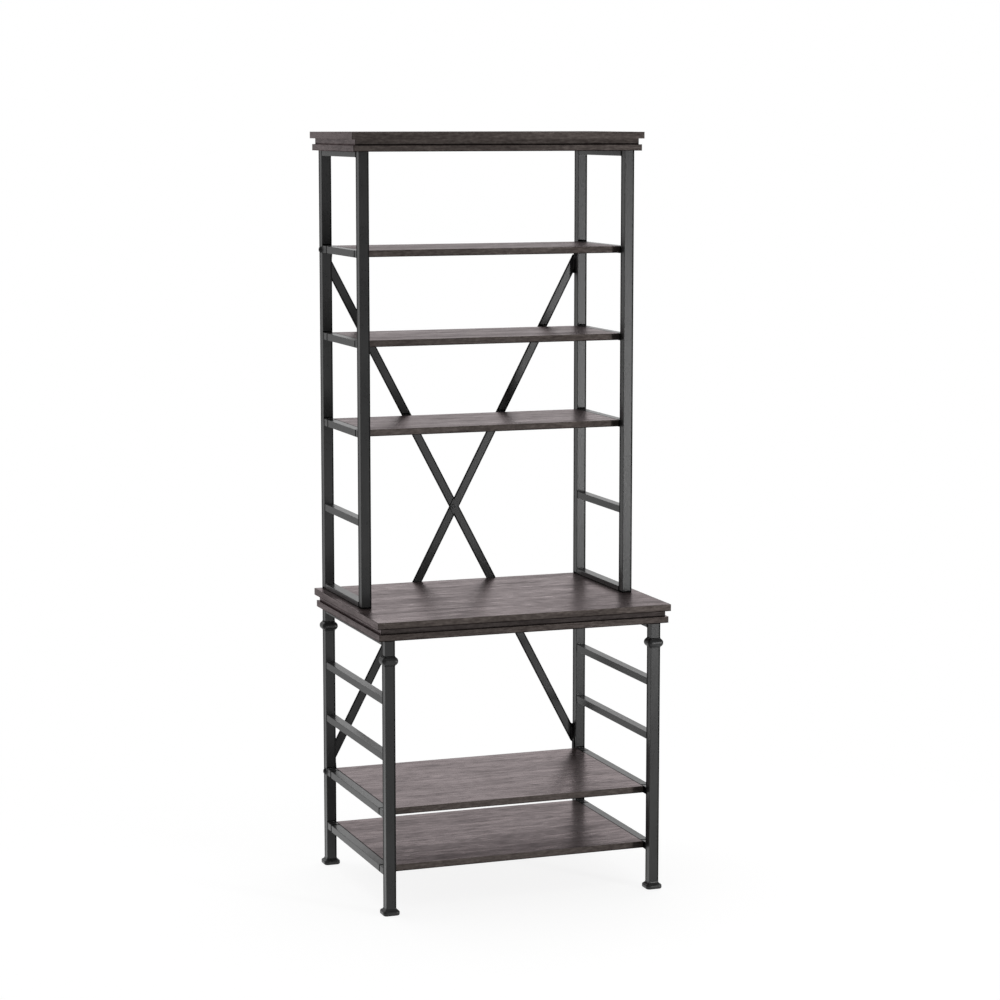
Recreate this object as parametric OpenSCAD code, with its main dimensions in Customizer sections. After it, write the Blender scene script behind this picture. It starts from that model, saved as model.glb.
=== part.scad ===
// Tall metal bookcase: a deep base with a desktop and two low shelves, and a
// shallower hutch on it with three shelves and a top board. Square tube frame,
// wood-grain boards, flat-bar cross brace behind.
// Millimetres. X runs to the right, Y to the back and Z up from the floor.
// The origin is on the floor, under the middle of the overall width and depth.

/* [Frame] */
// Width over the outer faces of the left and right legs
frame_w = 697; // [600:1:900]
// Depth of the base over the outer faces of its front and rear legs
base_depth = 510; // [440:1:620]
// Depth of the hutch over the outer faces of its front and rear posts
hutch_depth = 330; // [260:1:400]
// Outer size of the square tube of the legs and posts
tube_s = 25; // [23:0.5:32]
// Wall of the square tube
tube_wall = 1.5; // [1:0.1:2.5]
// Outer corner radius of the square tube
tube_r = 1.5; // [1:0.1:2.5]
// Width of the flat tube of the rungs, shelf rails and stubs
rail_w = 22.5; // [16:0.5:23]
// Height of the flat tube of the rungs, shelf rails and stubs
rail_h = 17; // [13:0.5:22]
// Height of the hutch's bottom and top rails, which are as wide as the posts
end_rail_h = 13; // [10:0.5:16]
// Height of the rails under the desktop, which are as wide as the legs
desk_rail_h = 15; // [12:0.5:18]
// Wall of the flat tube
rail_wall = 1.2; // [0.8:0.1:2]
// Outer corner radius of the flat tube
rail_r = 1; // [0.6:0.1:2]

/* [Heights] */
// Height of the top board's upper face
overall_h = 1830; // [1760:5:1950]
// Height of the desktop's upper face
desk_h = 704; // [680:1:760]
// Upper face of the hutch side rungs
hutch_rung_z = 917; // [850:1:1000]
// Upper face of the upper base side rungs
upper_rung_z = 519.5; // [470:0.5:560]
// Upper face of the lower base side rungs
lower_rung_z = 385.5; // [320:0.5:430]
// Upper face of the highest hutch shelf
hutch_shelf_z = 1554; // [1500:1:1600]
// Step between hutch shelves
hutch_shelf_step = 212.5; // [180:0.5:230]
// Number of hutch shelves
hutch_shelves = 3; // [3]
// Upper face of the upper base shelf
base_shelf_z = 247.5; // [220:0.5:280]
// Step between the two base shelves
base_shelf_step = 138; // [110:1:160]

/* [Boards] */
// Thickness of the upper board of the desktop and the top board
slab_t = 16; // [12:0.5:22]
// Height of the recessed band below the upper board
neck_t = 14; // [8:0.5:20]
// Thickness of the under board
under_t = 15; // [10:0.5:20]
// Recess of the band from the upper board's edge
neck_in = 10.5; // [6:0.5:14]
// Recess of the under board from the upper board's edge
under_in = 4.5; // [0:0.5:6]
// Rounding of the boards' upright corners
board_r = 1.2; // [0.5:0.1:3]
// Overhang of the desktop past the legs on each side
desk_side = 21; // [12:0.5:30]
// Overhang of the desktop in front of the front legs
desk_front = 15; // [8:0.5:25]
// How far the desktop's back edge stays in front of the rear legs' back
desk_back_in = 2; // [0:0.5:4]
// Overhang of the top board past the posts on each side
top_side = 20; // [12:0.5:30]
// Overhang of the top board in front of the front posts
top_front = 15; // [8:0.5:25]
// Overhang of the top board behind the rear posts
top_back = 6; // [0:0.5:12]
// Thickness of the shelf boards
shelf_t = 16; // [12:0.5:22]
// Distance from the hutch front posts back to the shelf boards
hutch_shelf_in = 7; // [2:0.5:14]
// Distance from the front legs back to the base shelf boards
base_shelf_in = 18; // [4:0.5:26]

/* [Shelf joints] */
// Length of the stubs on the legs and the rear posts
stub_len = 30; // [22:0.5:40]
// Length of the stubs on the hutch front posts
short_stub_len = 17; // [16:0.5:26]
// Open seam between a stub and its shelf rail
seam_gap = 1.6; // [0.5:0.1:3]
// How far the spigot inside a seam reaches into each side
spigot_reach = 12; // [8:0.5:15]
// Clearance round the spigot
spigot_clear = 0.2; // [0.1:0.05:0.4]

/* [Feet and collars] */
// Overhang of the cast foot past the leg on each side
foot_out = 8; // [5:0.5:11]
// Height of the foot's upright rim
foot_rim_h = 10.5; // [8:0.5:13]
// Height of the whole foot
foot_h = 18; // [16:0.5:26]
// Rounding of the foot's rim
foot_rim_r = 3.2; // [2:0.1:3.8]
// Thickness of the foot's floor under the leg
foot_floor = 3; // [2:0.5:4]
// Distance from the desktop's underside down to the collar
collar_drop = 38.5; // [24:0.5:70]
// Height of the collar
collar_h = 22.5; // [18:0.5:30]
// Overhang of the collar past the leg
collar_out = 7.5; // [5:0.1:9]
// Height of the fine step above and below the collar's bulge
collar_step_h = 1.6; // [1:0.1:2.5]
// Overhang of the fine step
collar_step_out = 1; // [0.6:0.1:1.6]

/* [Cross brace] */
// Width of the flat bar
brace_w = 22; // [16:0.5:28]
// Thickness of the flat bar
brace_t = 2.5; // [2:0.1:4]
// Height of the crossing
brace_z = 891; // [860:1:920]
// Rise from the crossing to the bend at a post
brace_rise = 606; // [560:1:620]
// Rise from the crossing to an end bolt
bolt_rise = 653; // [650:1:690]
// Inner radius of the bend at a post
bend_r = 1.5; // [0.5:0.1:3]
// Radius of the rounded ear round an end bolt
ear_r = 10; // [7.5:0.5:11]
// Gap between the desktop's back edge and the front bar
brace_gap = 0.3; // [0.1:0.1:1]

/* [Fasteners] */
// Shank diameter of the end bolts and the centre screw
bolt_d = 6; // [5:0.5:8]
// Radial clearance of a bolt in its holes
bolt_clear = 0.3; // [0.1:0.05:0.5]
// Diameter of the domed heads
head_d = 17; // [14:0.5:19]
// Height of the domed heads
head_h = 5; // [3:0.1:6]
// Upright rim of a domed head
head_rim = 0.8; // [0.4:0.1:1.5]
// Width of the hexagon nuts across their flats
nut_af = 10; // [10:0.5:13]
// Height of the hexagon nuts
nut_h = 5; // [3:0.1:6.5]
// Diameter of the centre screw's flat heads
screw_head_d = 12; // [11:0.5:16]
// Height of the centre screw's flat heads
screw_head_h = 2.2; // [1.5:0.1:2.6]

/* [Hidden] */
$fn = 48;

// Colours of the painted steel and of the boards' upper and edge faces
steel = [0.27, 0.27, 0.28];
dark_steel = [0.2, 0.2, 0.21];
wood = [0.53, 0.49, 0.49];
wood_edge = [0.42, 0.38, 0.37];

// Depth positions, worked out from the overall depth
brace_back = 2 * brace_t + brace_gap + screw_head_h - desk_back_in;
rear_out = max(foot_out, collar_out, top_back, brace_back);
front_out = max(foot_out, collar_out, desk_front);
depth = front_out + base_depth + rear_out;
rear_face = depth / 2 - rear_out;
base_front_face = rear_face - base_depth;
hutch_front_face = rear_face - hutch_depth;
rear_y = rear_face - tube_s / 2;
base_front_y = base_front_face + tube_s / 2;
hutch_front_y = hutch_front_face + tube_s / 2;
desk_back = rear_face - desk_back_in;

// Side positions
post_x = frame_w / 2 - tube_s / 2;
inner_x = frame_w / 2 - tube_s;
shelf_w = 2 * post_x - rail_w;

// Heights
stack_t = slab_t + neck_t + under_t;
desk_under = desk_h - stack_t;
top_under = overall_h - stack_t;
collar_z = desk_under - collar_drop - collar_h;

// Cross brace: the bars' slope and their half sizes along X and along Z
fold_x = inner_x - bend_r - brace_t;
brace_slope = brace_rise / fold_x;
brace_angle = atan(brace_slope);
half_z = brace_w / 2 / cos(brace_angle);
half_x = brace_w / 2 / sin(brace_angle);
brace_front = desk_back + brace_gap;

function hutch_z(i) = hutch_shelf_z - i * hutch_shelf_step;
function base_z(i) = base_shelf_z - i * base_shelf_step;

// Point where a line from p touches the circle of radius r round c
function touch_point(p, c, r, side) =
    let (
        d = norm(c - p),
        turn = side * acos(r / d),
        a = atan2(p[1] - c[1], p[0] - c[0]) + turn
    )
    [c[0] + r * cos(a), c[1] + r * sin(a)];

// Rectangle with round corners, centred
module round_rect(w, h, r) {
    square([w - 2 * r, h], center = true);
    square([w, h - 2 * r], center = true);
    for (x = [-1, 1], y = [-1, 1]) {
        translate([x * (w / 2 - r), y * (h / 2 - r)]) circle(r);
    }
}

// Wall of a rectangular tube, centred
module tube_section(w, h, wall, r) {
    difference() {
        round_rect(w, h, r);
        round_rect(w - 2 * wall, h - 2 * wall, max(r - wall, 0.4));
    }
}

// Upright square tube standing on z0
module upright(x, y, z0, z1) {
    translate([x, y, z0]) {
        linear_extrude(z1 - z0) tube_section(tube_s, tube_s, tube_wall, tube_r);
    }
}

// Flat tube along Y, with its upper face at z_top
module flat_tube(side, y0, y1, z_top, w, h) {
    translate([side * post_x, y1, z_top - h / 2]) {
        rotate([90, 0, 0]) {
            linear_extrude(y1 - y0) tube_section(w, h, rail_wall, rail_r);
        }
    }
}

// Moulding round the square tube: the children give its outline, with x as
// the distance from the tube's face and y as the height
module moulding_ring() {
    flat = tube_s / 2 - tube_r;
    for (a = [0 : 90 : 270]) {
        rotate([0, 0, a]) {
            translate([flat, flat, 0]) {
                rotate_extrude(angle = 90) translate([tube_r, 0]) children();
            }
            translate([tube_s / 2, flat, 0]) {
                rotate([90, 0, 0]) linear_extrude(2 * flat) children();
            }
        }
    }
}

// Outline of the foot: a rounded rim and a hollow curve up to the leg
module foot_outline() {
    cove_w = foot_out - foot_rim_r / 2;
    cove_h = foot_h - foot_rim_h;
    cove_r = (cove_w * cove_w + cove_h * cove_h) / (2 * cove_w);
    square([foot_out - foot_rim_r, foot_rim_h]);
    translate([0, foot_rim_r]) square([foot_out, foot_rim_h - 2 * foot_rim_r]);
    translate([foot_out - foot_rim_r, foot_rim_r]) circle(foot_rim_r);
    translate([foot_out - foot_rim_r, foot_rim_h - foot_rim_r]) circle(foot_rim_r);
    difference() {
        translate([0, foot_rim_h - foot_rim_r]) square([cove_w, cove_h + foot_rim_r]);
        translate([cove_r, foot_h]) circle(cove_r);
    }
}

// Cast foot: the moulding round the leg's end and a floor under it
module foot(side, y) {
    translate([side * post_x, y, 0]) {
        color(dark_steel) {
            moulding_ring() foot_outline();
            linear_extrude(foot_floor) round_rect(tube_s, tube_s, tube_r);
        }
    }
}

// Outline of the collar: two fine steps and a bulge between them
module collar_outline() {
    chord = collar_h - 2 * collar_step_h;
    rise = collar_out - collar_step_out;
    bulge_r = (chord * chord / 4 + rise * rise) / (2 * rise);
    square([collar_step_out, collar_h]);
    intersection() {
        translate([collar_out - bulge_r, collar_h / 2]) circle(bulge_r, $fn = 64);
        translate([0, collar_step_h]) square([collar_out, chord]);
    }
}

module collar(side, y) {
    translate([side * post_x, y, collar_z]) {
        color(dark_steel) moulding_ring() collar_outline();
    }
}

// Holes for the end bolts, along X through both walls of a rear upright
module bolt_hole(z) {
    for (side = [-1, 1]) {
        translate([side * post_x, rear_y, z]) {
            rotate([0, 90, 0]) {
                cylinder(h = 2 * tube_s, r = bolt_d / 2 + bolt_clear, center = true);
            }
        }
    }
}

// Base leg, standing on the foot's floor under the desktop
module leg(side, y) {
    color(steel) {
        if (y == rear_y) {
            difference() {
                upright(side * post_x, y, foot_floor, desk_under);
                bolt_hole(brace_z - bolt_rise);
            }
        } else {
            upright(side * post_x, y, foot_floor, desk_under);
        }
    }
}

// Hutch post, standing on the desktop under the top board
module post(side, y) {
    color(steel) {
        if (y == rear_y) {
            difference() {
                upright(side * post_x, y, desk_h, top_under);
                bolt_hole(brace_z + bolt_rise);
            }
        } else {
            upright(side * post_x, y, desk_h, top_under);
        }
    }
}

// Rail or rung welded between the front and rear uprights of one side
module base_rail(side, z_top, w, h) {
    color(steel) {
        flat_tube(side, base_front_face + tube_s, rear_face - tube_s, z_top, w, h);
    }
}

module hutch_rail(side, z_top, w, h) {
    color(steel) {
        flat_tube(side, hutch_front_face + tube_s, rear_face - tube_s, z_top, w, h);
    }
}

// Stubs of one side: short ends welded to the uprights for the shelves
module stubs(side, front_face, front_len, heights) {
    color(steel) {
        for (z = heights) {
            y0 = front_face + tube_s;
            y1 = rear_face - tube_s;
            flat_tube(side, y0, y0 + front_len, z, rail_w, rail_h);
            flat_tube(side, y1 - stub_len, y1, z, rail_w, rail_h);
        }
    }
}

// Spigots that join the stubs and the shelf rails inside the tubes
module spigots(front_face, front_len, heights) {
    w = rail_w - 2 * rail_wall - 2 * spigot_clear;
    h = rail_h - 2 * rail_wall - 2 * spigot_clear;
    len = seam_gap + 2 * spigot_reach;
    front_seam = front_face + tube_s + front_len + seam_gap / 2;
    rear_seam = rear_face - tube_s - stub_len - seam_gap / 2;
    color(dark_steel) {
        for (z = heights, side = [-1, 1], y = [front_seam, rear_seam]) {
            translate([side * post_x, y, z - rail_h / 2]) {
                cube([w, len, h], center = true);
            }
        }
    }
}

// Side rail of a shelf, between two stubs
module shelf_rail(side, front_face, front_len, z) {
    y0 = front_face + tube_s + front_len + seam_gap;
    y1 = rear_face - tube_s - stub_len - seam_gap;
    color(steel) flat_tube(side, y0, y1, z, rail_w, rail_h);
}

// Wooden shelf between the rails, from behind the front uprights to the rear
module shelf_board(front_face, front_in, z) {
    y0 = front_face + tube_s + front_in;
    y1 = rear_face - tube_s;
    color(wood) {
        translate([-shelf_w / 2, y0, z - shelf_t]) cube([shelf_w, y1 - y0, shelf_t]);
    }
}

// One layer of a thick board, drawn in from the full outline on all sides
module layer(half_w, y0, y1, inset, z0, t) {
    translate([0, (y0 + y1) / 2, z0]) {
        linear_extrude(t) {
            round_rect(2 * (half_w - inset), y1 - y0 - 2 * inset, board_r);
        }
    }
}

module desk_layer(inset, z0, t) {
    layer(frame_w / 2 + desk_side, base_front_face - desk_front, desk_back, inset, z0, t);
}

module top_layer(inset, z0, t) {
    y0 = hutch_front_face - top_front;
    layer(frame_w / 2 + top_side, y0, rear_face + top_back, inset, z0, t);
}

// Outline of one chevron's two arms, from its point to the bends
module chevron_outline() {
    polygon([
        [-half_x, 0],
        [fold_x, brace_rise + half_z],
        [fold_x, brace_rise - half_z],
        [half_x, 0],
        [fold_x, half_z - brace_rise],
        [fold_x, -half_z - brace_rise]
    ]);
}

// Outline of a bent end on the post's inner face, with x along Y and y along Z
module tab_outline(y_bend) {
    low = [y_bend, brace_rise - half_z];
    high = [y_bend, brace_rise + half_z];
    ear = [rear_y, bolt_rise];
    difference() {
        union() {
            polygon([
                low,
                high,
                touch_point(high, ear, ear_r, 1),
                ear,
                touch_point(low, ear, ear_r, -1)
            ]);
            translate(ear) circle(ear_r);
        }
        translate(ear) circle(bolt_d / 2 + bolt_clear);
    }
}

// Right-hand chevron: both arms, their bends and the bolted ends
module chevron(y_front) {
    y_bend = y_front - bend_r;
    difference() {
        translate([0, y_front + brace_t, 0]) {
            rotate([90, 0, 0]) linear_extrude(brace_t) chevron_outline();
        }
        translate([0, y_front + brace_t / 2, 0]) {
            rotate([90, 0, 0]) {
                cylinder(h = 2 * brace_t, r = bolt_d / 2 + bolt_clear, center = true);
            }
        }
    }
    for (m = [0, 1]) {
        mirror([0, 0, m]) {
            translate([fold_x, y_bend, brace_rise - half_z]) {
                rotate_extrude(angle = 90) {
                    translate([bend_r, 0]) square([brace_t, 2 * half_z]);
                }
            }
            translate([inner_x - brace_t, 0, 0]) {
                rotate([90, 0, 90]) linear_extrude(brace_t) tab_outline(y_bend);
            }
        }
    }
}

module brace_right() {
    color(dark_steel) translate([0, 0, brace_z]) chevron(brace_front);
}

module brace_left() {
    color(dark_steel) {
        translate([0, 0, brace_z]) mirror([1, 0, 0]) chevron(brace_front + brace_t);
    }
}

// Half outline of a domed head that stands on y = 0
module dome_outline() {
    dome_h = head_h - head_rim;
    dome_r = (head_d * head_d / 4 + dome_h * dome_h) / (2 * dome_h);
    square([head_d / 2, head_rim]);
    intersection() {
        translate([0, head_h - dome_r]) circle(dome_r, $fn = 64);
        translate([0, head_rim]) square([head_d / 2, dome_h]);
    }
}

// Places something at each end bolt, with its own +Z out of the post's side
module at_bolts(x) {
    for (side = [-1, 1], rise = [-1, 1]) {
        translate([side * x, rear_y, brace_z + rise * bolt_rise]) {
            rotate([0, side * 90, 0]) children();
        }
    }
}

module brace_end_bolts() {
    color(dark_steel) {
        at_bolts(frame_w / 2) {
            rotate_extrude() dome_outline();
            translate([0, 0, -tube_s - brace_t - nut_h]) {
                cylinder(h = tube_s + brace_t + nut_h, r = bolt_d / 2);
            }
        }
    }
}

module brace_end_nuts() {
    color(dark_steel) {
        at_bolts(inner_x - brace_t - nut_h) {
            difference() {
                cylinder(h = nut_h, r = nut_af / sqrt(3), $fn = 6);
                translate([0, 0, -1]) cylinder(h = nut_h + 2, r = bolt_d / 2 + 0.1);
            }
        }
    }
}

// Screw through the crossing, with a flat round head on each side
module brace_centre_screw() {
    len = 2 * brace_t + 2 * screw_head_h;
    color(dark_steel) {
        translate([0, brace_front - screw_head_h, brace_z]) {
            rotate([-90, 0, 0]) {
                cylinder(h = len, r = bolt_d / 2);
                cylinder(h = screw_head_h, r = screw_head_d / 2);
                translate([0, 0, len - screw_head_h]) {
                    cylinder(h = screw_head_h, r = screw_head_d / 2);
                }
            }
        }
    }
}

foot(-1, base_front_y);  // foot_front_left
foot(1, base_front_y);  // foot_front_right
foot(-1, rear_y);  // foot_rear_left
foot(1, rear_y);  // foot_rear_right
leg(-1, base_front_y);  // leg_front_left
leg(1, base_front_y);  // leg_front_right
leg(-1, rear_y);  // leg_rear_left
leg(1, rear_y);  // leg_rear_right
collar(-1, base_front_y);  // collar_front_left
collar(1, base_front_y);  // collar_front_right
collar(-1, rear_y);  // collar_rear_left
collar(1, rear_y);  // collar_rear_right
base_rail(-1, desk_under, tube_s, desk_rail_h);  // base_top_rail_left
base_rail(1, desk_under, tube_s, desk_rail_h);  // base_top_rail_right
base_rail(-1, upper_rung_z, rail_w, rail_h);  // base_upper_rung_left
base_rail(1, upper_rung_z, rail_w, rail_h);  // base_upper_rung_right
base_rail(-1, lower_rung_z, rail_w, rail_h);  // base_lower_rung_left
base_rail(1, lower_rung_z, rail_w, rail_h);  // base_lower_rung_right
post(-1, hutch_front_y);  // post_front_left
post(1, hutch_front_y);  // post_front_right
post(-1, rear_y);  // post_rear_left
post(1, rear_y);  // post_rear_right
hutch_rail(-1, top_under, tube_s, end_rail_h);  // hutch_top_rail_left
hutch_rail(1, top_under, tube_s, end_rail_h);  // hutch_top_rail_right
hutch_rail(-1, desk_h + end_rail_h, tube_s, end_rail_h);  // hutch_bottom_rail_left
hutch_rail(1, desk_h + end_rail_h, tube_s, end_rail_h);  // hutch_bottom_rail_right
hutch_rail(-1, hutch_rung_z, rail_w, rail_h);  // hutch_rung_left
hutch_rail(1, hutch_rung_z, rail_w, rail_h);  // hutch_rung_right
hutch_zs = [for (i = [0 : hutch_shelves - 1]) hutch_z(i)];
base_zs = [base_z(0), base_z(1)];
stubs(-1, hutch_front_face, short_stub_len, hutch_zs);  // hutch_stubs_left
stubs(1, hutch_front_face, short_stub_len, hutch_zs);  // hutch_stubs_right
stubs(-1, base_front_face, stub_len, base_zs);  // base_stubs_left
stubs(1, base_front_face, stub_len, base_zs);  // base_stubs_right
union() {  // seam_spigots
    spigots(hutch_front_face, short_stub_len, hutch_zs);
    spigots(base_front_face, stub_len, base_zs);
}
shelf_board(hutch_front_face, hutch_shelf_in, hutch_z(0));  // hutch_shelf_board_1
shelf_board(hutch_front_face, hutch_shelf_in, hutch_z(1));  // hutch_shelf_board_2
shelf_board(hutch_front_face, hutch_shelf_in, hutch_z(2));  // hutch_shelf_board_3
shelf_board(base_front_face, base_shelf_in, base_z(0));  // base_shelf_board_1
shelf_board(base_front_face, base_shelf_in, base_z(1));  // base_shelf_board_2
shelf_rail(-1, hutch_front_face, short_stub_len, hutch_z(0));  // hutch_shelf_rail_1_left
shelf_rail(1, hutch_front_face, short_stub_len, hutch_z(0));  // hutch_shelf_rail_1_right
shelf_rail(-1, hutch_front_face, short_stub_len, hutch_z(1));  // hutch_shelf_rail_2_left
shelf_rail(1, hutch_front_face, short_stub_len, hutch_z(1));  // hutch_shelf_rail_2_right
shelf_rail(-1, hutch_front_face, short_stub_len, hutch_z(2));  // hutch_shelf_rail_3_left
shelf_rail(1, hutch_front_face, short_stub_len, hutch_z(2));  // hutch_shelf_rail_3_right
shelf_rail(-1, base_front_face, stub_len, base_z(0));  // base_shelf_rail_1_left
shelf_rail(1, base_front_face, stub_len, base_z(0));  // base_shelf_rail_1_right
shelf_rail(-1, base_front_face, stub_len, base_z(1));  // base_shelf_rail_2_left
shelf_rail(1, base_front_face, stub_len, base_z(1));  // base_shelf_rail_2_right
color(wood) desk_layer(0, desk_h - slab_t, slab_t);  // desktop_slab
color(wood_edge) desk_layer(neck_in, desk_under + under_t, neck_t);  // desktop_neck
color(wood) desk_layer(under_in, desk_under, under_t);  // desktop_underboard
color(wood) top_layer(0, overall_h - slab_t, slab_t);  // top_slab
color(wood_edge) top_layer(neck_in, top_under + under_t, neck_t);  // top_neck
color(wood) top_layer(under_in, top_under, under_t);  // top_underboard
brace_left();
brace_right();
brace_centre_screw();
brace_end_bolts();
brace_end_nuts();
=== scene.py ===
"""The looks of a tall metal bookcase: a hutch with three shelves on a base with a desktop and two shelves."""

import math
import random

import bpy
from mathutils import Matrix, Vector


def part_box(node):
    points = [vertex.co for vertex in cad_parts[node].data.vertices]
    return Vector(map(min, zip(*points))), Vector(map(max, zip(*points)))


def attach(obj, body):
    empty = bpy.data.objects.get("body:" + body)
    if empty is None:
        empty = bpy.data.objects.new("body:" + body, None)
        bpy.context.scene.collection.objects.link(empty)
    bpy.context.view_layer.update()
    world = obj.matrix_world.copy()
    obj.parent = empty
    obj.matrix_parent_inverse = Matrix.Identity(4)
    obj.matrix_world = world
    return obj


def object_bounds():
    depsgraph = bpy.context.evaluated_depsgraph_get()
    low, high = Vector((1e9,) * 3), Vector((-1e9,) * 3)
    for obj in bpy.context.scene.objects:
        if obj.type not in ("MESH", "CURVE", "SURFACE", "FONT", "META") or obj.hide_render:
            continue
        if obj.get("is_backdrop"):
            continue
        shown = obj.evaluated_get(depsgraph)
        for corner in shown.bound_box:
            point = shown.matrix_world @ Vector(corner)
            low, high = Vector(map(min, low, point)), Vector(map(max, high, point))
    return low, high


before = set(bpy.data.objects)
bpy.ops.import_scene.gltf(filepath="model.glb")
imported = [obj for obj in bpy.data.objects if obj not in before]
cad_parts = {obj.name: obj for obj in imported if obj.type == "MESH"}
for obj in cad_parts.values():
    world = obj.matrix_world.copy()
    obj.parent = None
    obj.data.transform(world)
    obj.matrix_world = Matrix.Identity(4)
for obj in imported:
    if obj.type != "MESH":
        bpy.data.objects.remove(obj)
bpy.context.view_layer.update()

# The base's four legs: 25 mm square steel tube, cut square, standing in cast feet under the desktop.
# All steel has one satin charcoal powder coat with a faint orange peel, clouded, painted pale on the
# corners as a highlight and rubbed pale there in patches, with bands of painted shade beside two of
# them, and painted shade, near black, where two pieces meet.
MM = 0.001
X, Y, Z = range(3)


class Wire:
    """One socket in a material's node tree. A sum written on wires adds the Math nodes that do it."""

    def __init__(self, tree, socket=None):
        self.tree, self.socket = tree, socket

    def node(self, kind, settings=(), sockets=(), output=0):
        """A new shader node, with its own settings and its sockets' values or wires, as a wire."""
        made = self.tree.nodes.new("ShaderNode" + kind)
        for name, value in dict(settings).items():
            if name == "stops":
                ramp = made.color_ramp
                while len(ramp.elements) < len(value):
                    ramp.elements.new(0.5)
                for element, (place, colour) in zip(ramp.elements, value):
                    element.position, element.color = place, (*colour, 1)
            else:
                setattr(made, name, value)
        for name, value in dict(sockets).items():
            if isinstance(value, Wire):
                self.tree.links.new(value.socket, made.inputs[name])
            else:
                made.inputs[name].default_value = value
        return Wire(self.tree, made.outputs[output] if made.outputs else None)

    def math(self, operation, *values):
        return self.node("Math", {"operation": operation}, dict(enumerate(values)))

    def __add__(self, other):
        return self.math("ADD", self, other)

    def __sub__(self, other):
        return self.math("SUBTRACT", self, other)

    def __rsub__(self, other):
        return self.math("SUBTRACT", other, self)

    def __mul__(self, other):
        return self.math("MULTIPLY", self, other)

    def __truediv__(self, other):
        return self.math("DIVIDE", self, other)

    def __abs__(self):
        return self.math("ABSOLUTE", self)

    __radd__, __rmul__ = __add__, __mul__

    def split(self):
        """The x, y and z of this wire."""
        parts = self.node("SeparateXYZ", sockets={0: self}).socket.node.outputs
        return [Wire(self.tree, part) for part in parts]

    def rise(self, low, high):
        """0 below low, 1 above high and a smooth step between them."""
        bounds = {"Value": self, "From Min": low, "From Max": high}
        return self.node("MapRange", {"interpolation_type": "SMOOTHSTEP"}, bounds)

    def mix(self, first, second):
        """The first colour where this wire is 0, the second where it is 1."""
        return self.node("Mix", {"data_type": "RGBA"}, {0: self, 6: first, 7: second}, output=2)

    def noise(self, point, detail=2.0, roughness=0.5):
        """Soft noise, 0 to 1, at a point that is given as three wires or numbers."""
        point = self.node("CombineXYZ", sockets=dict(enumerate(point)))
        shape = {"Vector": point, "Scale": 1.0, "Detail": detail, "Roughness": roughness}
        return self.node("TexNoise", sockets=shape)


def start_finish(name):
    """A new material, a wire in it, and the node of the Principled shader that feeds its output."""
    finish = bpy.data.materials.new(name)
    finish.use_nodes = True
    finish.node_tree.nodes.clear()
    wire = Wire(finish.node_tree)
    shader = wire.node("BsdfPrincipled")
    wire.node("OutputMaterial", sockets={"Surface": shader})
    return finish, wire, shader.socket.node


# Black for painted shade, where pieces meet and in sockets
SHADE_BLACK = (0.004, 0.004, 0.004, 1)


def end_finish(wire, shader, colour, roughness, height, relief, ior, metallic=0.0, painted_shade=None):
    """Feeds the shader. Height is 0 to 1, and relief is how deep it goes, in metres. Where the last
    argument is 1, a black matt shader is mixed in as painted shade, and shows neither gloss nor light."""
    normal = wire.node("Bump", sockets={"Height": height, "Distance": relief, "Strength": 1.0})
    fed = {"Base Color": colour, "Roughness": roughness, "Normal": normal, "Metallic": metallic, "IOR": ior}
    for socket, value in fed.items():
        if isinstance(value, Wire):
            wire.tree.links.new(value.socket, shader.inputs[socket])
        else:
            shader.inputs[socket].default_value = value
    if painted_shade:
        output = shader.outputs[0].links[0].to_socket
        depth = wire.node("BsdfDiffuse", sockets={"Color": SHADE_BLACK})
        mixed = wire.node("MixShader", sockets={0: painted_shade, 1: Wire(wire.tree, shader.outputs[0]), 2: depth})
        wire.tree.links.new(mixed.socket, output)


def dress(finish, *names):
    """Puts a finish on CAD nodes that keep their own shape."""
    for name in names:
        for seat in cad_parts[name].material_slots:
            seat.material = finish


COAT_DEEP = (0.0215, 0.0218, 0.0220, 1)
COAT_OPEN = (0.0310, 0.0312, 0.0315, 1)
# Near black, for painted shade
COAT_PAINTED_SHADE = (0.006, 0.006, 0.006, 1)
# Pale, for rubbed wear and for painted highlights on corners
COAT_WEAR_AND_HIGHLIGHT = (0.15, 0.15, 0.15, 1)
COAT_DUST = (0.060, 0.058, 0.056, 1)
COAT_IOR = 1.38
COAT_GLOSS = 0.235
COAT_PEEL = 0.05 * MM
CLOUDS_ACROSS, CLOUDS_UP = 14, 9
PATCHES_ACROSS, PATCHES_UP = 95, 60
PEEL_DIMPLES = 620
LINE_CORE = 0.2


def joint_line(point, joints):
    """1 on the joints, where shade is painted: each an axis, a place on it and how far the dark line
    reaches to both sides.
    """
    line = point[X] * 0
    for axis, place, reach in joints:
        line = line.math("MAXIMUM", line, 1 - abs(point[axis] - place).rise(reach * LINE_CORE, reach))
    return line


# Distances from an upright's corner, measured round its faces: where each band, of painted shade and of
# painted highlight, begins and where it is full
DARK_FRONT_RIGHT = (5.0 * MM, 3.4 * MM)
DARK_REAR_LEFT = (10.0 * MM, 6.0 * MM)
PALE_FRONT_LEFT = 3.5 * MM
PALE_CORE, PALE_REACH = 2.0 * MM, 5.0 * MM


def corner_bands(x, y, column):
    """Bands down the upright tubes: 1 where painted shade darkens the coat by two corners, and 1 where a
    painted highlight makes it pale.
    """
    low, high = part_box(column + "_front_left")
    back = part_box(column + "_rear_right")[1]
    size = high.x - low.x
    middle, spread = (low.y + back.y) / 2, (back.y - low.y - size) / 2
    beside = x - x.math("SIGN", x) * (back.x - size / 2)
    behind = (y - middle) - x.math("SIGN", y - middle) * spread
    slant = beside - behind
    dark = slant.rise(*(size - reach for reach in DARK_FRONT_RIGHT)) * 0.85
    dark = dark + (slant * -1).rise(*(size - reach for reach in DARK_REAR_LEFT)) * 0.8
    return dark, 1 - abs(slant + PALE_FRONT_LEFT).rise(PALE_CORE, PALE_REACH)


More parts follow.
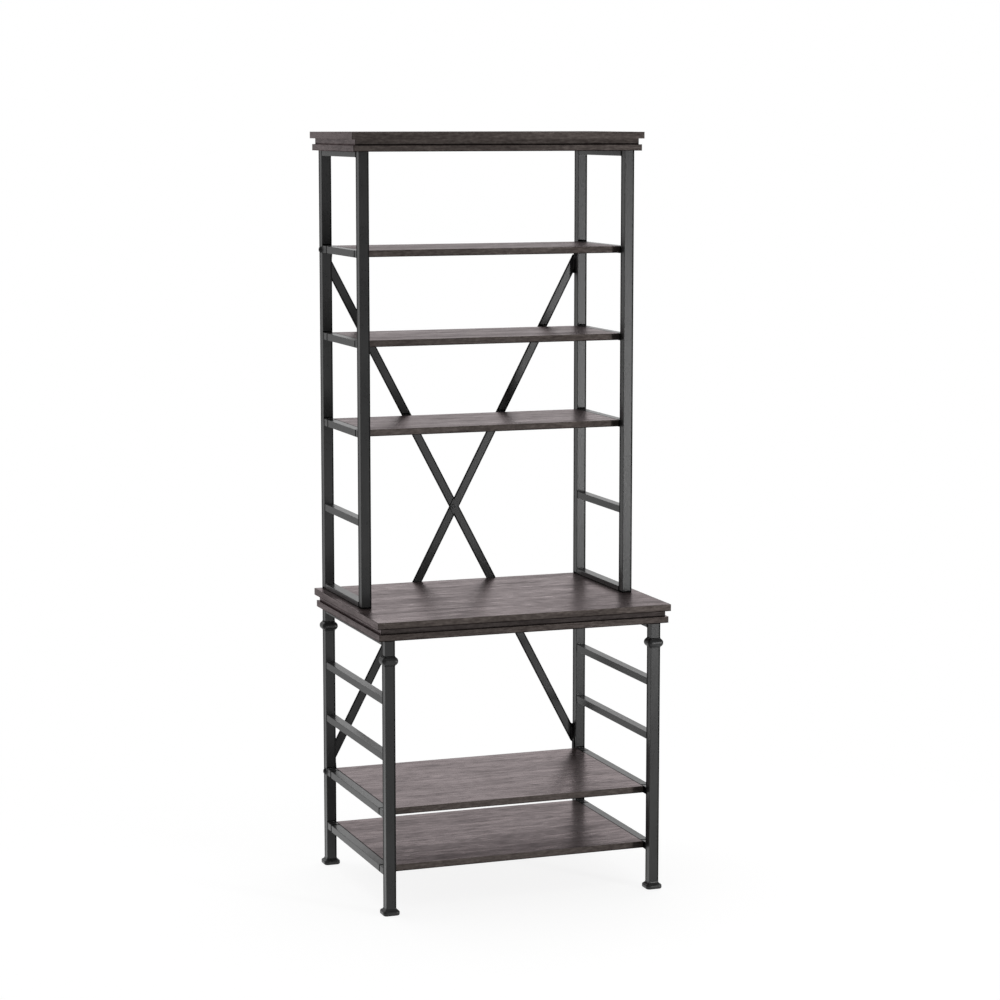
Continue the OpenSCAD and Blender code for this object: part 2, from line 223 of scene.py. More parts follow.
def squarely(wire, facing):
    """How near a face lies to square with the axes: 1 when it does."""
    return wire.math("MAXIMUM", abs(facing[X]), wire.math("MAXIMUM", abs(facing[Y]), abs(facing[Z])))


def charcoal_coat(name, seed, joints=(), touching=(), column=None, bars=None, slopes=()):
    """Powder coat on square work. Joints are lines of painted shade where pieces meet. Touching is like
    joints, but on front faces alone, where the back edge of a shelf meets them. Column names the
    uprights that have the corner bands of painted shade and painted highlight. Bars are sloping flat
    bars, with painted shade along their edges: a bar's slope, the height where they cross, and how far
    from its middle the painted shade starts and is full. Slopes are the normals, in x and z, of flat
    faces that lie off the axes."""
    finish, wire, shader = start_finish(name)
    x, y, z = wire.node("TexCoord", output="Object").split()
    facing = wire.node("NewGeometry", output="Normal").split()
    squareness = squarely(wire, facing)
    for slope_x, slope_z in slopes:
        squareness = wire.math("MAXIMUM", squareness, abs(facing[X] * slope_x + facing[Z] * slope_z))
    cloud = wire.noise((x * CLOUDS_ACROSS, y * CLOUDS_ACROSS, z * CLOUDS_UP + seed), 3.0)
    patch = wire.noise((x * PATCHES_ACROSS + seed, y * PATCHES_ACROSS, z * PATCHES_UP), 3.0, 0.6)
    peel = wire.noise((x * PEEL_DIMPLES, y * PEEL_DIMPLES, z * PEEL_DIMPLES + seed), 1.0)
    corner = (1 - squareness).rise(0.02, 0.12)
    rubbed = corner * patch.rise(0.55, 0.75)
    dust = facing[Z].rise(0.75, 0.98) * patch.rise(0.35, 0.75)
    colour = cloud.rise(0.3, 0.7).mix(COAT_DEEP, COAT_OPEN)
    # Painted highlight on the rounded corners, and rubbed wear in patches there
    colour = (corner * 0.7 + rubbed * 0.3).mix(colour, COAT_WEAR_AND_HIGHLIGHT)
    colour = (dust * 0.25).mix(colour, COAT_DUST)
    # Painted shade where pieces meet, and where shelves' back edges touch front faces
    seam = joint_line((x, y, z), joints)
    if touching:
        in_front = (facing[Y] * -1).rise(0.5, 0.9)
        seam = seam.math("MAXIMUM", seam, joint_line((x, y, z), touching) * in_front)
    painted_shade = seam.rise(0.25, 0.85) * 0.9 if joints or touching else None
    # Bands of painted shade and of painted highlight by the uprights' corners
    if column:
        dark, pale = corner_bands(x, y, column)
        seam = seam.math("MAXIMUM", seam, dark)
        colour = (pale * 0.3).mix(colour, COAT_WEAR_AND_HIGHLIGHT)
    # Painted shade along the bars' edges
    if bars:
        slope_x, slope_z, crossing, thin_from, thin_to = bars
        aside = abs(abs(x) * slope_x - abs(z - crossing) * slope_z)
        seam = seam.math("MAXIMUM", seam, aside.rise(thin_from, thin_to) * 0.9)
    # All painted shade: the coat near black, rougher and partly metallic where the lines and bands lie
    colour = (seam * 0.95).mix(colour, COAT_PAINTED_SHADE)
    roughness = COAT_GLOSS + cloud * 0.05 + patch * 0.04 + dust * 0.03 + seam * 0.45
    height = peel * 0.6 + patch * 0.4
    end_finish(wire, shader, colour, roughness, height, COAT_PEEL, COAT_IOR, seam * 0.85, painted_shade)
    return finish


SHELF_TOUCH = 2.0 * MM
SHELF_SHADE = 3.0 * MM
OVER_COLLAR, UNDER_COLLAR, UNDER_DESK = 2.2 * MM, 1.2 * MM, 5.0 * MM


def behind_shelves(boards):
    """The lines of painted shade that the back edges of shelves throw on what stands behind them."""
    return [(Z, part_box(board)[1].z + SHELF_TOUCH, SHELF_SHADE) for board in boards]


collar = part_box("collar_front_left")
leg_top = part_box("leg_front_left")[1].z
# Painted shade darkens the legs above and below the collars and under the desktop, and the rear legs where
# the shelves' back edges meet them
leg_joints = [(Z, collar[1].z, OVER_COLLAR), (Z, collar[0].z, UNDER_COLLAR), (Z, leg_top, UNDER_DESK)]
leg_coat = charcoal_coat("charcoal_legs", 0.0, leg_joints, column="leg")
dress(leg_coat, "leg_front_left", "leg_front_right")
base_lines = behind_shelves(["base_shelf_board_1", "base_shelf_board_2"])
rear_leg_coat = charcoal_coat("charcoal_rear_legs", 0.5, leg_joints, base_lines, column="leg")
dress(rear_leg_coat, "leg_rear_left", "leg_rear_right")

# Flat steel tube closes each end of the base: one rail under the desktop and two rungs, cut to
# length between the legs. A small fillet weld runs right round each tube's end where it meets the
# leg, and shows its ripples through the coat.
SIDES = ("left", "right")


def ring_mesh(name, rings, finish):
    """A closed ring of sections, each a list of points, as a smooth piece on the root body."""
    mesh = bpy.data.meshes.new(name)
    verts, faces = [], []
    for loop in rings:
        base, count, turn = len(verts), len(loop), len(loop[0])
        for section in loop:
            verts.extend(section)
        for i in range(count):
            for j in range(turn):
                here, there = base + i * turn, base + (i + 1) % count * turn
                faces.append((here + j, there + j, there + (j + 1) % turn, here + (j + 1) % turn))
    mesh.from_pydata(verts, [], faces)
    mesh.materials.append(finish)
    mesh.shade_smooth()
    piece = bpy.data.objects.new(name, mesh)
    bpy.context.scene.collection.objects.link(piece)
    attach(piece, "root")


def tube_outline(low_x, high_x, low_z, high_z, radius, step):
    """Points and outward directions round a rounded rectangle, about step apart."""
    points = []
    corners = (
        (high_x - radius, high_z - radius, 0), (low_x + radius, high_z - radius, 90),
        (low_x + radius, low_z + radius, 180), (high_x - radius, low_z + radius, 270),
    )
    for k, (cx, cz, start) in enumerate(corners):
        for step_round in CORNER_STEPS:
            way = math.radians(start + step_round)
            out_x, out_z = math.cos(way), math.sin(way)
            points.append((cx + radius * out_x, cz + radius * out_z, out_x, out_z))
        next_x, next_z, turn = corners[(k + 1) % 4]
        way = math.radians(turn)
        end = (next_x + radius * math.cos(way), next_z + radius * math.sin(way))
        begin = points[-1]
        parts = max(2, round(math.dist(begin[:2], end) / step))
        for i in range(1, parts):
            between = [first + (last - first) * (i / parts) for first, last in zip(begin, end)]
            points.append((*between, *begin[2:]))
    return points


def end_joints(rail, reach):
    """The lines of painted shade round the two ends of a tube that runs from front to back."""
    low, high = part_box(rail)
    return [(Y, low.y, reach), (Y, high.y, reach)]


BEAD_LEG, BEAD_ROOT, BEAD_STEP = 0.8 * MM, 0.3 * MM, 0.7 * MM
BEAD_RIPPLE, RIPPLE_SHARE, WOBBLE_SHARE = 1.9 * MM, 0.09, 0.04
BEAD_ARC = (-12, 10, 32, 58, 80, 102)
TUBE_CORNER = 1.0 * MM
CORNER_STEPS = (0, 22.5, 45, 67.5, 90)
FULL_TURN = 6.28


def weld_beads(name, tubes, seed):
    """A fillet round both ends of each tube; a tube is its (lowest corner, highest corner)."""
    dice = random.Random(seed)
    rings = []
    for low, high in tubes:
        outline = tube_outline(low.x, high.x, low.z, high.z, TUBE_CORNER, BEAD_STEP)
        for wall, inward in ((low.y, 1), (high.y, -1)):
            loop = []
            phase = dice.uniform(0, FULL_TURN)
            for k, (px, pz, ox, oz) in enumerate(outline):
                ripple = RIPPLE_SHARE * math.sin(phase + k * BEAD_STEP / BEAD_RIPPLE * FULL_TURN)
                leg = BEAD_LEG * (1 + ripple + dice.uniform(-WOBBLE_SHARE, WOBBLE_SHARE))
                section = [(px - ox * BEAD_ROOT, wall - inward * BEAD_ROOT, pz - oz * BEAD_ROOT)]
                for angle in BEAD_ARC:
                    out, up = leg * math.cos(math.radians(angle)), leg * math.sin(math.radians(angle))
                    section.append((px + ox * out, wall + inward * up, pz + oz * out))
                loop.append(section if inward > 0 else section[::-1])
            rings.append(loop)
    ring_mesh(name, rings, leg_coat)


# Painted shade darkens the rungs round their ends, where they meet the legs
RUNG_JOINT = 3.0 * MM
rung_coat = charcoal_coat("charcoal_base_rungs", 3.0, end_joints("base_upper_rung_left", RUNG_JOINT))
for side in SIDES:
    rails = [f"base_{part}_{side}" for part in ("top_rail", "upper_rung", "lower_rung")]
    dress(rung_coat, *rails)
    weld_beads(f"base_welds_{side}", [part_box(rail) for rail in rails], 11 + SIDES.index(side))

# Each leg ends in a cast iron foot with a rolled rim and a cove above it, and has a moulded collar
# cast in one piece and pinned on below the desktop. The castings have the frame's coat over a
# grainier skin, rubbed on the ledges of the moulding, with painted shade, near black, where it meets
# the leg or the floor.
CORNERS = ("front_left", "front_right", "rear_left", "rear_right")
CAST_GRAIN = 0.12 * MM
CAST_CLOUDS, CAST_SKIN, CAST_PITS = 40, 340, 900
CAST_JOINT = 3.0 * MM


def cast_coat(name, seed, joints):
    """The powder coat over a sand casting's skin, with a few pits in it."""
    finish, wire, shader = start_finish(name)
    x, y, z = wire.node("TexCoord", output="Object").split()
    facing = wire.node("NewGeometry", output="Normal").split()
    cloud = wire.noise((x * CAST_CLOUDS, y * CAST_CLOUDS, z * CAST_CLOUDS + seed), 3.0)
    skin = wire.noise((x * CAST_SKIN, y * CAST_SKIN, z * CAST_SKIN + seed), 3.0, 0.65)
    pits = wire.noise((x * CAST_PITS + seed, y * CAST_PITS, z * CAST_PITS), 1.0).rise(0.6, 0.72)
    ledge = abs(facing[Z]).rise(0.3, 0.9)
    colour = cloud.rise(0.3, 0.7).mix(COAT_DEEP, COAT_OPEN)
    colour = (ledge * skin.rise(0.4, 0.7) * 0.07).mix(colour, COAT_WEAR_AND_HIGHLIGHT)
    colour = (pits * 0.5).mix(colour, COAT_DEEP)
    # Painted shade, near black, where the casting meets the leg or the floor
    seam = joint_line((x, y, z), joints)
    colour = (seam * 0.9).mix(colour, COAT_PAINTED_SHADE)
    roughness = 0.26 + skin * 0.08 + pits * 0.1 + seam * 0.15
    end_finish(wire, shader, colour, roughness, skin - pits * 0.4, CAST_GRAIN, COAT_IOR, seam * 0.7)
    return finish


foot_joints = [(Z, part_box("foot_front_left")[0].z, CAST_JOINT)]
collar_joints = [(Z, collar[1].z, CAST_JOINT), (Z, collar[0].z, UNDER_COLLAR)]
for part, joints in (("foot", foot_joints), ("collar", collar_joints)):
    dress(cast_coat(f"charcoal_{part}", 5.0, joints), *(f"{part}_{corner}" for corner in CORNERS))

# A shelf rail of the same flat tube runs from front to back at each end of each base shelf. It
# hangs between two short stubs welded to the legs, over a steel spigot, and an open seam shows
# where each stub ends. The board's end lies against the rail.
SEAM_SHADE = 5.2 * MM
BOARD_SHADE = 2.2 * MM
SPIGOT_SHADE = 6.0 * MM


def hang_shelf_rails(level, count, seed):
    """Dresses the shelf rails and stubs of the base or the hutch, and welds on the stubs."""
    for side in SIDES:
        rails = [f"{level}_shelf_rail_{n}_{side}" for n in range(1, count + 1)]
        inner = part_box(rails[0])[side == "left"].x
        # Painted shade round the rails' ends at the seams, and along the inner edge where the board lies
        # against it
        joints = end_joints(rails[0], SEAM_SHADE) + [(X, inner, BOARD_SHADE)]
        finish = charcoal_coat(f"charcoal_{level}_shelf_rails_{side}", 6.0, joints)
        dress(finish, *rails, f"{level}_stubs_{side}")
        front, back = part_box(f"{level}_stubs_{side}")
        spans = []
        for rail in rails:
            low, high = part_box(rail)
            low.y, high.y = front.y, back.y
            spans.append((low, high))
        weld_beads(f"{level}_stub_welds_{side}", spans, seed + SIDES.index(side))


hang_shelf_rails("base", 2, 21)
# Painted shade darkens the spigots where the seams open
spigot_joints = end_joints("base_shelf_rail_1_left", SPIGOT_SHADE)
spigot_joints += end_joints("hutch_shelf_rail_1_left", SPIGOT_SHADE)
dress(charcoal_coat("charcoal_spigots", 5.0, spigot_joints), "seam_spigots")

# The base's two shelves are 16 mm particle board in a weathered oak laminate, grain running from
# end to end, with edge tape of the same print round all four sides. The print has broad bands,
# growth lines that bend round a few small knots, fine fibres and open pores, under a satin lacquer.
FACE_TONES = ((0.10, (0.026, 0.0190, 0.0180)), (0.5, (0.080, 0.0620, 0.0600)), (0.9, (0.150, 0.1200, 0.1180)))
EDGE_TONES = ((0.10, (0.018, 0.0130, 0.0110)), (0.5, (0.052, 0.0435, 0.0380)), (0.9, (0.095, 0.0810, 0.0730)))
# Dark brown for knots, and for painted shade in lines along the edges
KNOT_AND_SHADE = (0.012, 0.0085, 0.008, 1)
TAPE_SEAM = (0.014, 0.011, 0.0105, 1)
ARRIS = (0.100, 0.082, 0.078, 1)
LACQUER_IOR = 1.5
LACQUER_PEARL = 0.5
LACQUER_TINT = (1.0, 0.85, 0.875, 1)
FACE_ROUGHNESS, EDGE_ROUGHNESS, END_ROUGHNESS = 0.36, 0.60, 0.30
GRAIN_RELIEF = 0.05 * MM
TAPE_WIDTH = 1.5 * MM
TAPE_LINE = (0.1 * MM, 0.5 * MM)
END_SHADE_FADE = (0.4 * MM, 1.8 * MM)
UNDERSIDE_SHADE = 2.6 * MM
EDGE_SHIFT = 3.1
KNOT_LENGTH, KNOT_BEND = 2.3, 0.85
KNOT_PULL, KNOT_CORE, KNOT_HALO = -0.12, -1.6, -0.35
GRAIN_SWAY = 16 * MM
GROWTH_LINES, GROWTH_SWELL = 46, 7
# The layers of the print: marks to a metre along and across the grain, a depth in the noise of the
# layer's own, and the noise's detail and roughness
BEND = (2.1, 9, 0.0, 3.0, 0.5)
BAND = (1.6, 17, 1.0, 3.0, 0.6)
SWELL = (1.1, 5, 2.0, 1.0, 0.5)
STREAK = (7.5, 72, 3.0, 4.0, 0.62)
FIBRE = (34, 330, 4.0, 4.0, 0.6)
PORE = (45, 1600, 5.0, 1.0, 0.5)
FLECK = (70, 60, 6.0, 1.0, 0.5)
BLOTCH = (18, 42, 7.0, 3.0, 0.6)
DASH = (75, 160, 8.0, 2.0, 0.6)


def grain(wire, layer, along, across, seed):
    """One layer of the print, 0 to 1."""
    to_metre_along, to_metre_across, depth, detail, roughness = layer
    point = (along * to_metre_along + seed, across * to_metre_across, depth)
    return wire.noise(point, detail, roughness)


def round_knots(wire, x, across, knots):
    """The way across the grain, bent round the knots, and the knots' cores and halos."""
    flow = across
    core = halo = x * 0
    for knot_x, knot_y, radius in knots:
        run, rise = (x - knot_x) / (radius * KNOT_LENGTH), (across - knot_y) / radius
        reach = run * run + rise * rise
        pull = wire.math("EXPONENT", reach * KNOT_PULL)
        flow = flow - (across - knot_y) * pull * KNOT_BEND
        core = core + wire.math("EXPONENT", reach * KNOT_CORE)
        halo = halo + wire.math("EXPONENT", reach * KNOT_HALO)
    return flow, core, halo


def oak_laminate(name, board, seed, knots=(), roughness=FACE_ROUGHNESS, edge_depth=1.0, shade_lines=None):
    """A board's finish. Knots are (x, y, radius) in metres, on the two faces. The lines of painted shade
    round the edges are each a height and a reach; without any, there is one along the underside, and the
    faces carry painted shade, near black, along the two ends. Edge depth is how light the edge tape is,
    and is set low to paint shade on a recessed edge."""
    low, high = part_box(board)
    finish, wire, shader = start_finish(name)
    x, y, z = wire.node("TexCoord", output="Object").split()
    facing = wire.node("NewGeometry", output="Normal").split()
    on_end = abs(facing[X]).rise(0.69, 0.73)
    on_face = abs(facing[Z]).rise(0.69, 0.73)
    along = x + (y - x) * on_end
    across = z + EDGE_SHIFT + (y - z - EDGE_SHIFT) * on_face
    flow, core, halo = round_knots(wire, x, across, knots)
    flow = flow + grain(wire, BEND, along, across, seed) * GRAIN_SWAY
    layers = (BAND, SWELL, STREAK, BLOTCH, FIBRE, PORE, FLECK, DASH)
    band, swell, streak, blotch, fibre, pore, fleck, dash = (
        grain(wire, layer, along, flow, seed) for layer in layers
    )
    growth = wire.math("FRACT", flow * GROWTH_LINES + swell * GROWTH_SWELL + seed)
    late = growth.rise(0.45, 0.93) * (1 - growth.rise(0.93, 1.0)) * band.rise(0.45, 0.65)
    pore = pore.rise(0.60, 0.74)
    fleck = fleck.rise(0.74, 0.84) - (1 - fleck.rise(0.17, 0.25))
    tone = 0.53 + (band - 0.5) * 1.1 + (streak - 0.5) * 1.1 + (blotch - 0.5) * 0.6 + (fibre - 0.5) * 1.35
    tone = tone - late * 0.12 - pore * 0.16 + fleck * 0.35
    face = wire.node("ValToRGB", {"stops": FACE_TONES}, {0: tone + halo * 0.10})
    tape = [(place, [part * edge_depth for part in tint]) for place, tint in EDGE_TONES]
    edge_tone = dash + (band - 0.5) * 0.6 + (fibre - 0.5) * 0.6
    edge = wire.node("ValToRGB", {"stops": tape}, {0: edge_tone})
    # Painted shade along the edges, in the knots' dark brown
    shade_line = joint_line((x, y, z), [(Z, *line) for line in shade_lines or [(low.z, UNDERSIDE_SHADE)]])
    edge = (shade_line * 0.95).mix(edge, KNOT_AND_SHADE)
    colour = (on_face + on_end * 0.4).mix(edge, face)
    colour = (core * 0.85).mix(colour, KNOT_AND_SHADE)
    inset_x = wire.math("MINIMUM", x - low.x, high.x - x)
    inset = wire.math("MINIMUM", inset_x, wire.math("MINIMUM", y - low.y, high.y - y))
    seam = on_face * (1 - abs(inset - TAPE_WIDTH).rise(*TAPE_LINE))
    colour = (seam * 0.75).mix(colour, TAPE_SEAM)
    # Painted shade, near black, on the faces along the ends where they meet the rails
    painted_shade = on_face * (1 - inset_x.rise(*END_SHADE_FADE)) * 0.85 if not shade_lines else None
    rubbed = (1 - squarely(wire, facing)).rise(0.05, 0.26) * streak.rise(0.40, 0.62)
    colour = (rubbed * 0.20).mix(colour, ARRIS)
    gloss = EDGE_ROUGHNESS - on_end * END_ROUGHNESS + on_face * (roughness - EDGE_ROUGHNESS)
    gloss = gloss + shade_line * (1 - on_face) * 0.2
    gloss = gloss + (0.5 - tone) * 0.30 + pore * 0.08 + rubbed * 0.05 + core * 0.06
    relief = fibre * 0.35 + streak * 0.25 - pore * 0.5 - late * 0.15 - seam * 0.5
    shader.inputs["Specular Tint"].default_value = LACQUER_TINT
    pearl = LACQUER_PEARL + shade_line * (1 - on_face) * 0.4
    end_finish(wire, shader, colour, gloss, relief, GRAIN_RELIEF, LACQUER_IOR, pearl, painted_shade)
    return finish


base_knots = (
    ((0.085, -0.105, 0.008), (-0.140, 0.060, 0.006)),
    ((-0.050, -0.060, 0.007), (0.190, 0.090, 0.008)),
)
for number, knots in enumerate(base_knots, 1):
    board, seed, roughness = f"base_shelf_board_{number}", 4.3 * number, 0.25 + 0.04 * number
    dress(oak_laminate(f"oak_base_shelf_{number}", board, seed, knots, roughness), board)

# The desktop is built up from three boards: a slab on top, a narrower neck that leaves a shadow
# line, and an underboard that rests on the base's top rails. All have the shelves' laminate.
desk_knots = ((0.175, 0.150, 0.009), (0.020, -0.150, 0.007))
dress(oak_laminate("oak_desktop", "desktop_slab", 17.9, desk_knots, 0.345, 1.1), "desktop_slab")
low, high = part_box("desktop_neck")
# The neck's shadow line is painted: its edge tape is darkened, with lines of painted shade along its top and
# bottom
neck_shade_lines = ((low.z, 3.0 * MM), (high.z, 3.6 * MM))
neck = oak_laminate("oak_desktop_neck", "desktop_neck", 21.4, edge_depth=0.45, shade_lines=neck_shade_lines)
dress(neck, "desktop_neck")
dress(oak_laminate("oak_desktop_under", "desktop_underboard", 25.7), "desktop_underboard")

# The hutch has four posts of the legs' square tube, which stand on the desktop. Each end is a ladder
# of welded flat tube: a bottom rail that lies on the desktop, one rung, and a top rail.
# Painted shade darkens the posts and bottom rails where they stand on the desktop, the rungs round their
# ends, and the rear posts where the shelves' back edges meet them
POST_FOOT, RAIL_FOOT = 6.0 * MM, 2.5 * MM
desk_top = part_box("post_front_left")[0].z
post_joints = [(Z, desk_top, POST_FOOT)]
post_coat = charcoal_coat("charcoal_posts", 1.5, post_joints, column="post")
dress(post_coat, "post_front_left", "post_front_right")
hutch_lines = behind_shelves(f"hutch_shelf_board_{number}" for number in (1, 2, 3))
rear_post_coat = charcoal_coat("charcoal_rear_posts", 1.8, post_joints, hutch_lines, column="post")
dress(rear_post_coat, "post_rear_left", "post_rear_right")
rung_joints = end_joints("hutch_rung_left", RUNG_JOINT)
rung_coat = charcoal_coat("charcoal_hutch_rungs", 7.0, rung_joints)
foot_rail_joints = rung_joints + [(Z, desk_top, RAIL_FOOT)]
foot_rail_coat = charcoal_coat("charcoal_hutch_bottom_rails", 8.0, foot_rail_joints)
top_rail_coat = charcoal_coat("charcoal_hutch_top_rails", 8.5)
for side in SIDES:
    rails = [f"hutch_{part}_{side}" for part in ("bottom_rail", "rung", "top_rail")]
    for finish, rail in zip((foot_rail_coat, rung_coat, top_rail_coat), rails):
        dress(finish, rail)
    weld_beads(f"hutch_welds_{side}", [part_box(rail) for rail in rails], 31 + SIDES.index(side))

# The hutch's shelf rails are the same flat tube and hang between welded stubs as the base's do.
# The stubs on its front posts are shorter than those on the rear posts.
hang_shelf_rails("hutch", 3, 41)

# Three shelves fit between the hutch's rails: the base shelves' 16 mm board and print, cut
# narrower, with their ends against the rails and their back edges close to the rear posts.
hutch_knots = (
    ((0.120, 0.100, 0.007),),
    ((-0.130, 0.150, 0.007),),
    ((0.060, 0.020, 0.008), (-0.200, 0.120, 0.006)),
)
for number, knots in enumerate(hutch_knots, 1):
    board, seed, roughness = f"hutch_shelf_board_{number}", 31.7 + 5.1 * number, 0.45 - 0.025 * number
    dress(oak_laminate(f"oak_hutch_shelf_{number}", board, seed, knots, roughness), board)

# The top is built up like the desktop from slab, neck and underboard, at the hutch's depth, and
# rests on the posts. Its laminate is the same, dulled by dust, with painted shade in dark lines round
# the neck and along the underside.
low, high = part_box("top_underboard")
DUSTY_ROUGHNESS = 0.95
top_boards = (
    ("slab", 52.3, ((low.z, 1.0 * MM),)),
    ("neck", 57.1, ((high.z, 4.5 * MM),)),
    ("underboard", 61.9, ((low.z, UNDERSIDE_SHADE), (high.z, 1.5 * MM))),
)
for part, seed, shade_lines in top_boards:
    board = f"top_{part}"
    dress(oak_laminate(f"oak_{board}", board, seed, roughness=DUSTY_ROUGHNESS, shade_lines=shade_lines), board)

# Two chevrons of flat bar are screwed together where they cross behind the hutch. Each bar's end
# turns through a right angle into an ear, which is bolted to the inside of a rear tube.
BAR_RISE, BAR_RUN, BAR_WIDTH = 606.0 * MM, 319.5 * MM, 22.0 * MM
CROSSING_HEIGHT = 891.0 * MM
BAR_EDGE = (4.2 * MM, 2.4 * MM)
length = math.hypot(BAR_RISE, BAR_RUN)
slopes = ((BAR_RISE / length, BAR_RUN / length), (BAR_RISE / length, -BAR_RUN / length))
# The bars' edges get painted shade, and so do the lines where the shelves' back edges meet them
bars = (*slopes[0], CROSSING_HEIGHT, *(BAR_WIDTH / 2 - reach for reach in BAR_EDGE))
brace_coat = charcoal_coat("charcoal_brace", 9.0, touching=hutch_lines, bars=bars, slopes=slopes)
dress(brace_coat, "brace_left", "brace_right")

# The fasteners are blacked steel, a little shinier than the coat and scuffed where a key turned
# them. The screw where the braces cross and the bolts at their ends have a hexagon socket.
STEEL_BLACKED = (0.022, 0.022, 0.023, 1)
STEEL_SCUFFED = (0.080, 0.079, 0.077, 1)
STEEL_IOR, STEEL_BARE, STEEL_GRAIN = 1.5, 0.7, 0.04 * MM
STEEL_CLOUDS, STEEL_SCUFFS = 260, 900
BOLT_HEAD = 17.0 * MM
SOCKET_ACROSS = 5.0 * MM
SOCKET_EDGE = (0.46 * SOCKET_ACROSS, 0.54 * SOCKET_ACROSS)
HEXAGON_WAY = (0.5, 0.866)


def blacked_steel(name, head=None):
    """Head is given where round heads take a key: the axis that they face along, their node, and the
    heights of the middles of the lowest and highest of them."""
    finish, wire, shader = start_finish(name)
    x, y, z = wire.node("TexCoord", output="Object").split()
    cloud = wire.noise((x * STEEL_CLOUDS, y * STEEL_CLOUDS, z * STEEL_CLOUDS), 3.0)
    scuff = wire.noise((x * STEEL_SCUFFS, y * STEEL_SCUFFS, z * STEEL_SCUFFS), 2.0).rise(0.55, 0.7)
    colour = scuff.mix(STEEL_BLACKED, STEEL_SCUFFED)
    height = cloud
    if head:
        axis, node, low_z, high_z = head
        low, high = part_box(node)
        aside = (y - (low.y + high.y) / 2) if axis == X else x - (low.x + high.x) / 2
        upward = abs(z - (low_z + high_z) / 2) - (high_z - low_z) / 2
        slanting = abs(aside) * HEXAGON_WAY[0] + abs(upward) * HEXAGON_WAY[1]
        from_middle = wire.math("MAXIMUM", abs(aside), slanting)
        facing = abs(wire.node("NewGeometry", output="Normal").split()[axis])
        # The socket is a shallow bump, with its shade painted near black
        socket = (1 - from_middle.rise(*SOCKET_EDGE)) * facing.rise(0.8, 0.95)
        colour = (socket * 0.9).mix(colour, SHADE_BLACK)
        height = cloud - socket * 6
    end_finish(wire, shader, colour, 0.34 + cloud * 0.14, height, STEEL_GRAIN, STEEL_IOR, STEEL_BARE)
    return finish


low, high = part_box("brace_centre_screw")
middle = (low.z + high.z) / 2
screw_head = (Y, "brace_centre_screw", middle, middle)
dress(blacked_steel("blacked_screw", screw_head), "brace_centre_screw")
low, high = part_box("brace_end_bolts")
bolt_heads = (X, "brace_end_bolts", low.z + BOLT_HEAD / 2, high.z - BOLT_HEAD / 2)
dress(blacked_steel("blacked_bolts", bolt_heads), "brace_end_bolts")
dress(blacked_steel("blacked_nuts"), "brace_end_nuts")

# The studio: a pale floor that keeps the bookcase's shadow, white all round it, a broad soft lamp
# above, a tall strip lamp at the front right for the right-hand posts, and a small one below it
# for the legs.
ROOM_LEVEL = 0.20
BACKDROP_MIRRORED, BACKDROP_GATHERED = (0.45, 0.85), (-0.3, 0.6)
BACKDROP_SLOPE, BACKDROP_MIDDLE = 0.60, 0.795
LEFT_DIMMER, FAR_LEFT_BRIGHTER = 0.24, 0.42
FLOOR_PALE = (0.24, 0.24, 0.24, 1)
FLOOR_LIFT = 0.86
FLOOR_HALF = 6.0
FLOOR_FADE = (0.75, 1.7)


def seen_directly(wire):
    """Two wires: 1 for the camera's own rays, and 1 for those that mirrors and glass send on."""
    rays = wire.node("LightPath").socket.node.outputs
    kinds = ("Is Camera Ray", "Is Glossy Ray", "Is Transmission Ray")
    camera, glossy, through = (Wire(wire.tree, rays[kind]) for kind in kinds)
    return camera, wire.math("MAXIMUM", glossy, through)


def from_the_right(wire, way_x):
    """How bright mirrors show the backdrop: it dims from right to left, most where the tubes' left sides
    mirror it, and is brighter again at its far left."""
    left = way_x * -1
    dimming = wire.math("MINIMUM", way_x * BACKDROP_SLOPE + BACKDROP_MIDDLE, 1.0)
    return dimming - left.rise(0.05, 0.25) * LEFT_DIMMER + left.rise(0.32, 0.44) * FAR_LEFT_BRIGHTER


world = bpy.data.worlds.new("studio")
bpy.context.scene.world = world
world.use_nodes = True
world.node_tree.nodes.clear()
wire = Wire(world.node_tree)
way_x, way_y = wire.node("TexCoord", output="Generated").split()[:2]
mirrored = from_the_right(wire, way_x) * way_y.rise(*BACKDROP_MIRRORED)
gathered = way_y.rise(*BACKDROP_GATHERED)
camera, mirrors = seen_directly(wire)
sweep = gathered + (mirrored - gathered) * mirrors
sweep = sweep + (1 - sweep) * camera
level = ROOM_LEVEL + sweep * (1 - ROOM_LEVEL)
background = wire.node("Background", sockets={"Color": (1, 1, 1, 1), "Strength": level})
wire.node("OutputWorld", sockets={"Surface": background})

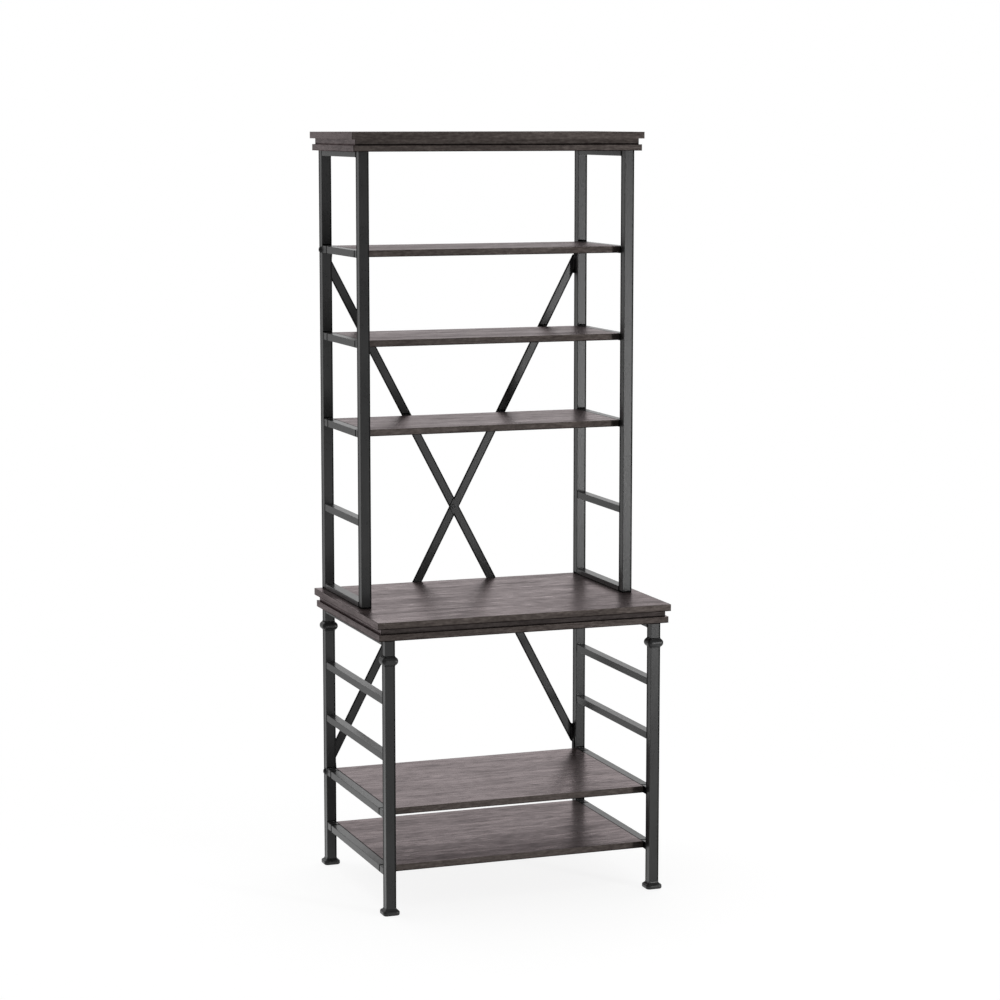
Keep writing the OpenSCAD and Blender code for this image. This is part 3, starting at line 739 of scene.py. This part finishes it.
floor_mesh = bpy.data.meshes.new("floor")
floor_corners = [(a * FLOOR_HALF, b * FLOOR_HALF, 0) for a, b in ((-1, -1), (1, -1), (1, 1), (-1, 1))]
floor_mesh.from_pydata(floor_corners, [], [(0, 1, 2, 3)])
floor = bpy.data.objects.new("floor", floor_mesh)
bpy.context.scene.collection.objects.link(floor)
floor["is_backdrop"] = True
paper = bpy.data.materials.new("studio_paper")
paper.use_nodes = True
paper.node_tree.nodes.clear()
wire = Wire(paper.node_tree)
x, y, z = wire.node("TexCoord", output="Object").split()
away_from_middle = wire.math("SQRT", x * x + y * y)
far = away_from_middle.rise(*FLOOR_FADE)
camera, mirrors = seen_directly(wire)
seen = wire.math("MAXIMUM", camera, mirrors)
mirrored = camera + (1 - camera) * mirrors * from_the_right(wire, x / away_from_middle)
matt = wire.node("BsdfDiffuse", sockets={"Color": FLOOR_PALE})
lift = wire.node("Emission", sockets={"Strength": seen * FLOOR_LIFT})
near = wire.node("AddShader", sockets={0: matt, 1: lift})
away = wire.node("Emission", sockets={"Strength": ROOM_LEVEL + mirrored * (1 - ROOM_LEVEL)})
wire.node("OutputMaterial", sockets={"Surface": wire.node("MixShader", sockets={0: far, 1: near, 2: away})})
floor_mesh.materials.append(paper)


def soft_lamp(name, place, aim, width, height, power):
    """A rectangular lamp, in metres and watts, turned to what it lights."""
    data = bpy.data.lights.new(name, "AREA")
    data.shape, data.size, data.size_y, data.energy = "RECTANGLE", width, height, power
    lamp = bpy.data.objects.new(name, data)
    bpy.context.scene.collection.objects.link(lamp)
    lamp.location = place
    way = Vector(aim) - Vector(place)
    lamp.rotation_euler = way.to_track_quat("-Z", "Y").to_euler()


soft_lamp("top_lamp", (-0.3, -0.5, 4.2), (0, 0, 1.0), 2.4, 2.4, 15)
soft_lamp("strip_lamp", (2.67, -3.88, 0.46), (0, 0, 0.80), 0.50, 2.44, 140)
soft_lamp("low_lamp", (2.67, -3.88, 0.22), (0, 0, 0.30), 0.50, 0.42, 13)

# The camera stands to the left of the bookcase, a little above its top, and looks down on it
# through a long lens.
VIEW_LENS, VIEW_SENSOR = 100.262, 36.0
VIEW_DOWN, VIEW_TURN = 7.8106, 20.1399
camera = bpy.data.cameras.new("camera")
camera.lens, camera.sensor_width = VIEW_LENS, VIEW_SENSOR
viewer = bpy.data.objects.new("camera", camera)
bpy.context.scene.collection.objects.link(viewer)
viewer.location = (-2.29001, -6.32249, 1.86302)
viewer.rotation_euler = (math.radians(90 - VIEW_DOWN), 0, math.radians(-VIEW_TURN))
camera.clip_end = 60
bpy.context.scene.camera = viewer
bpy.context.scene.view_settings.view_transform = "Standard"

low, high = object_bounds()
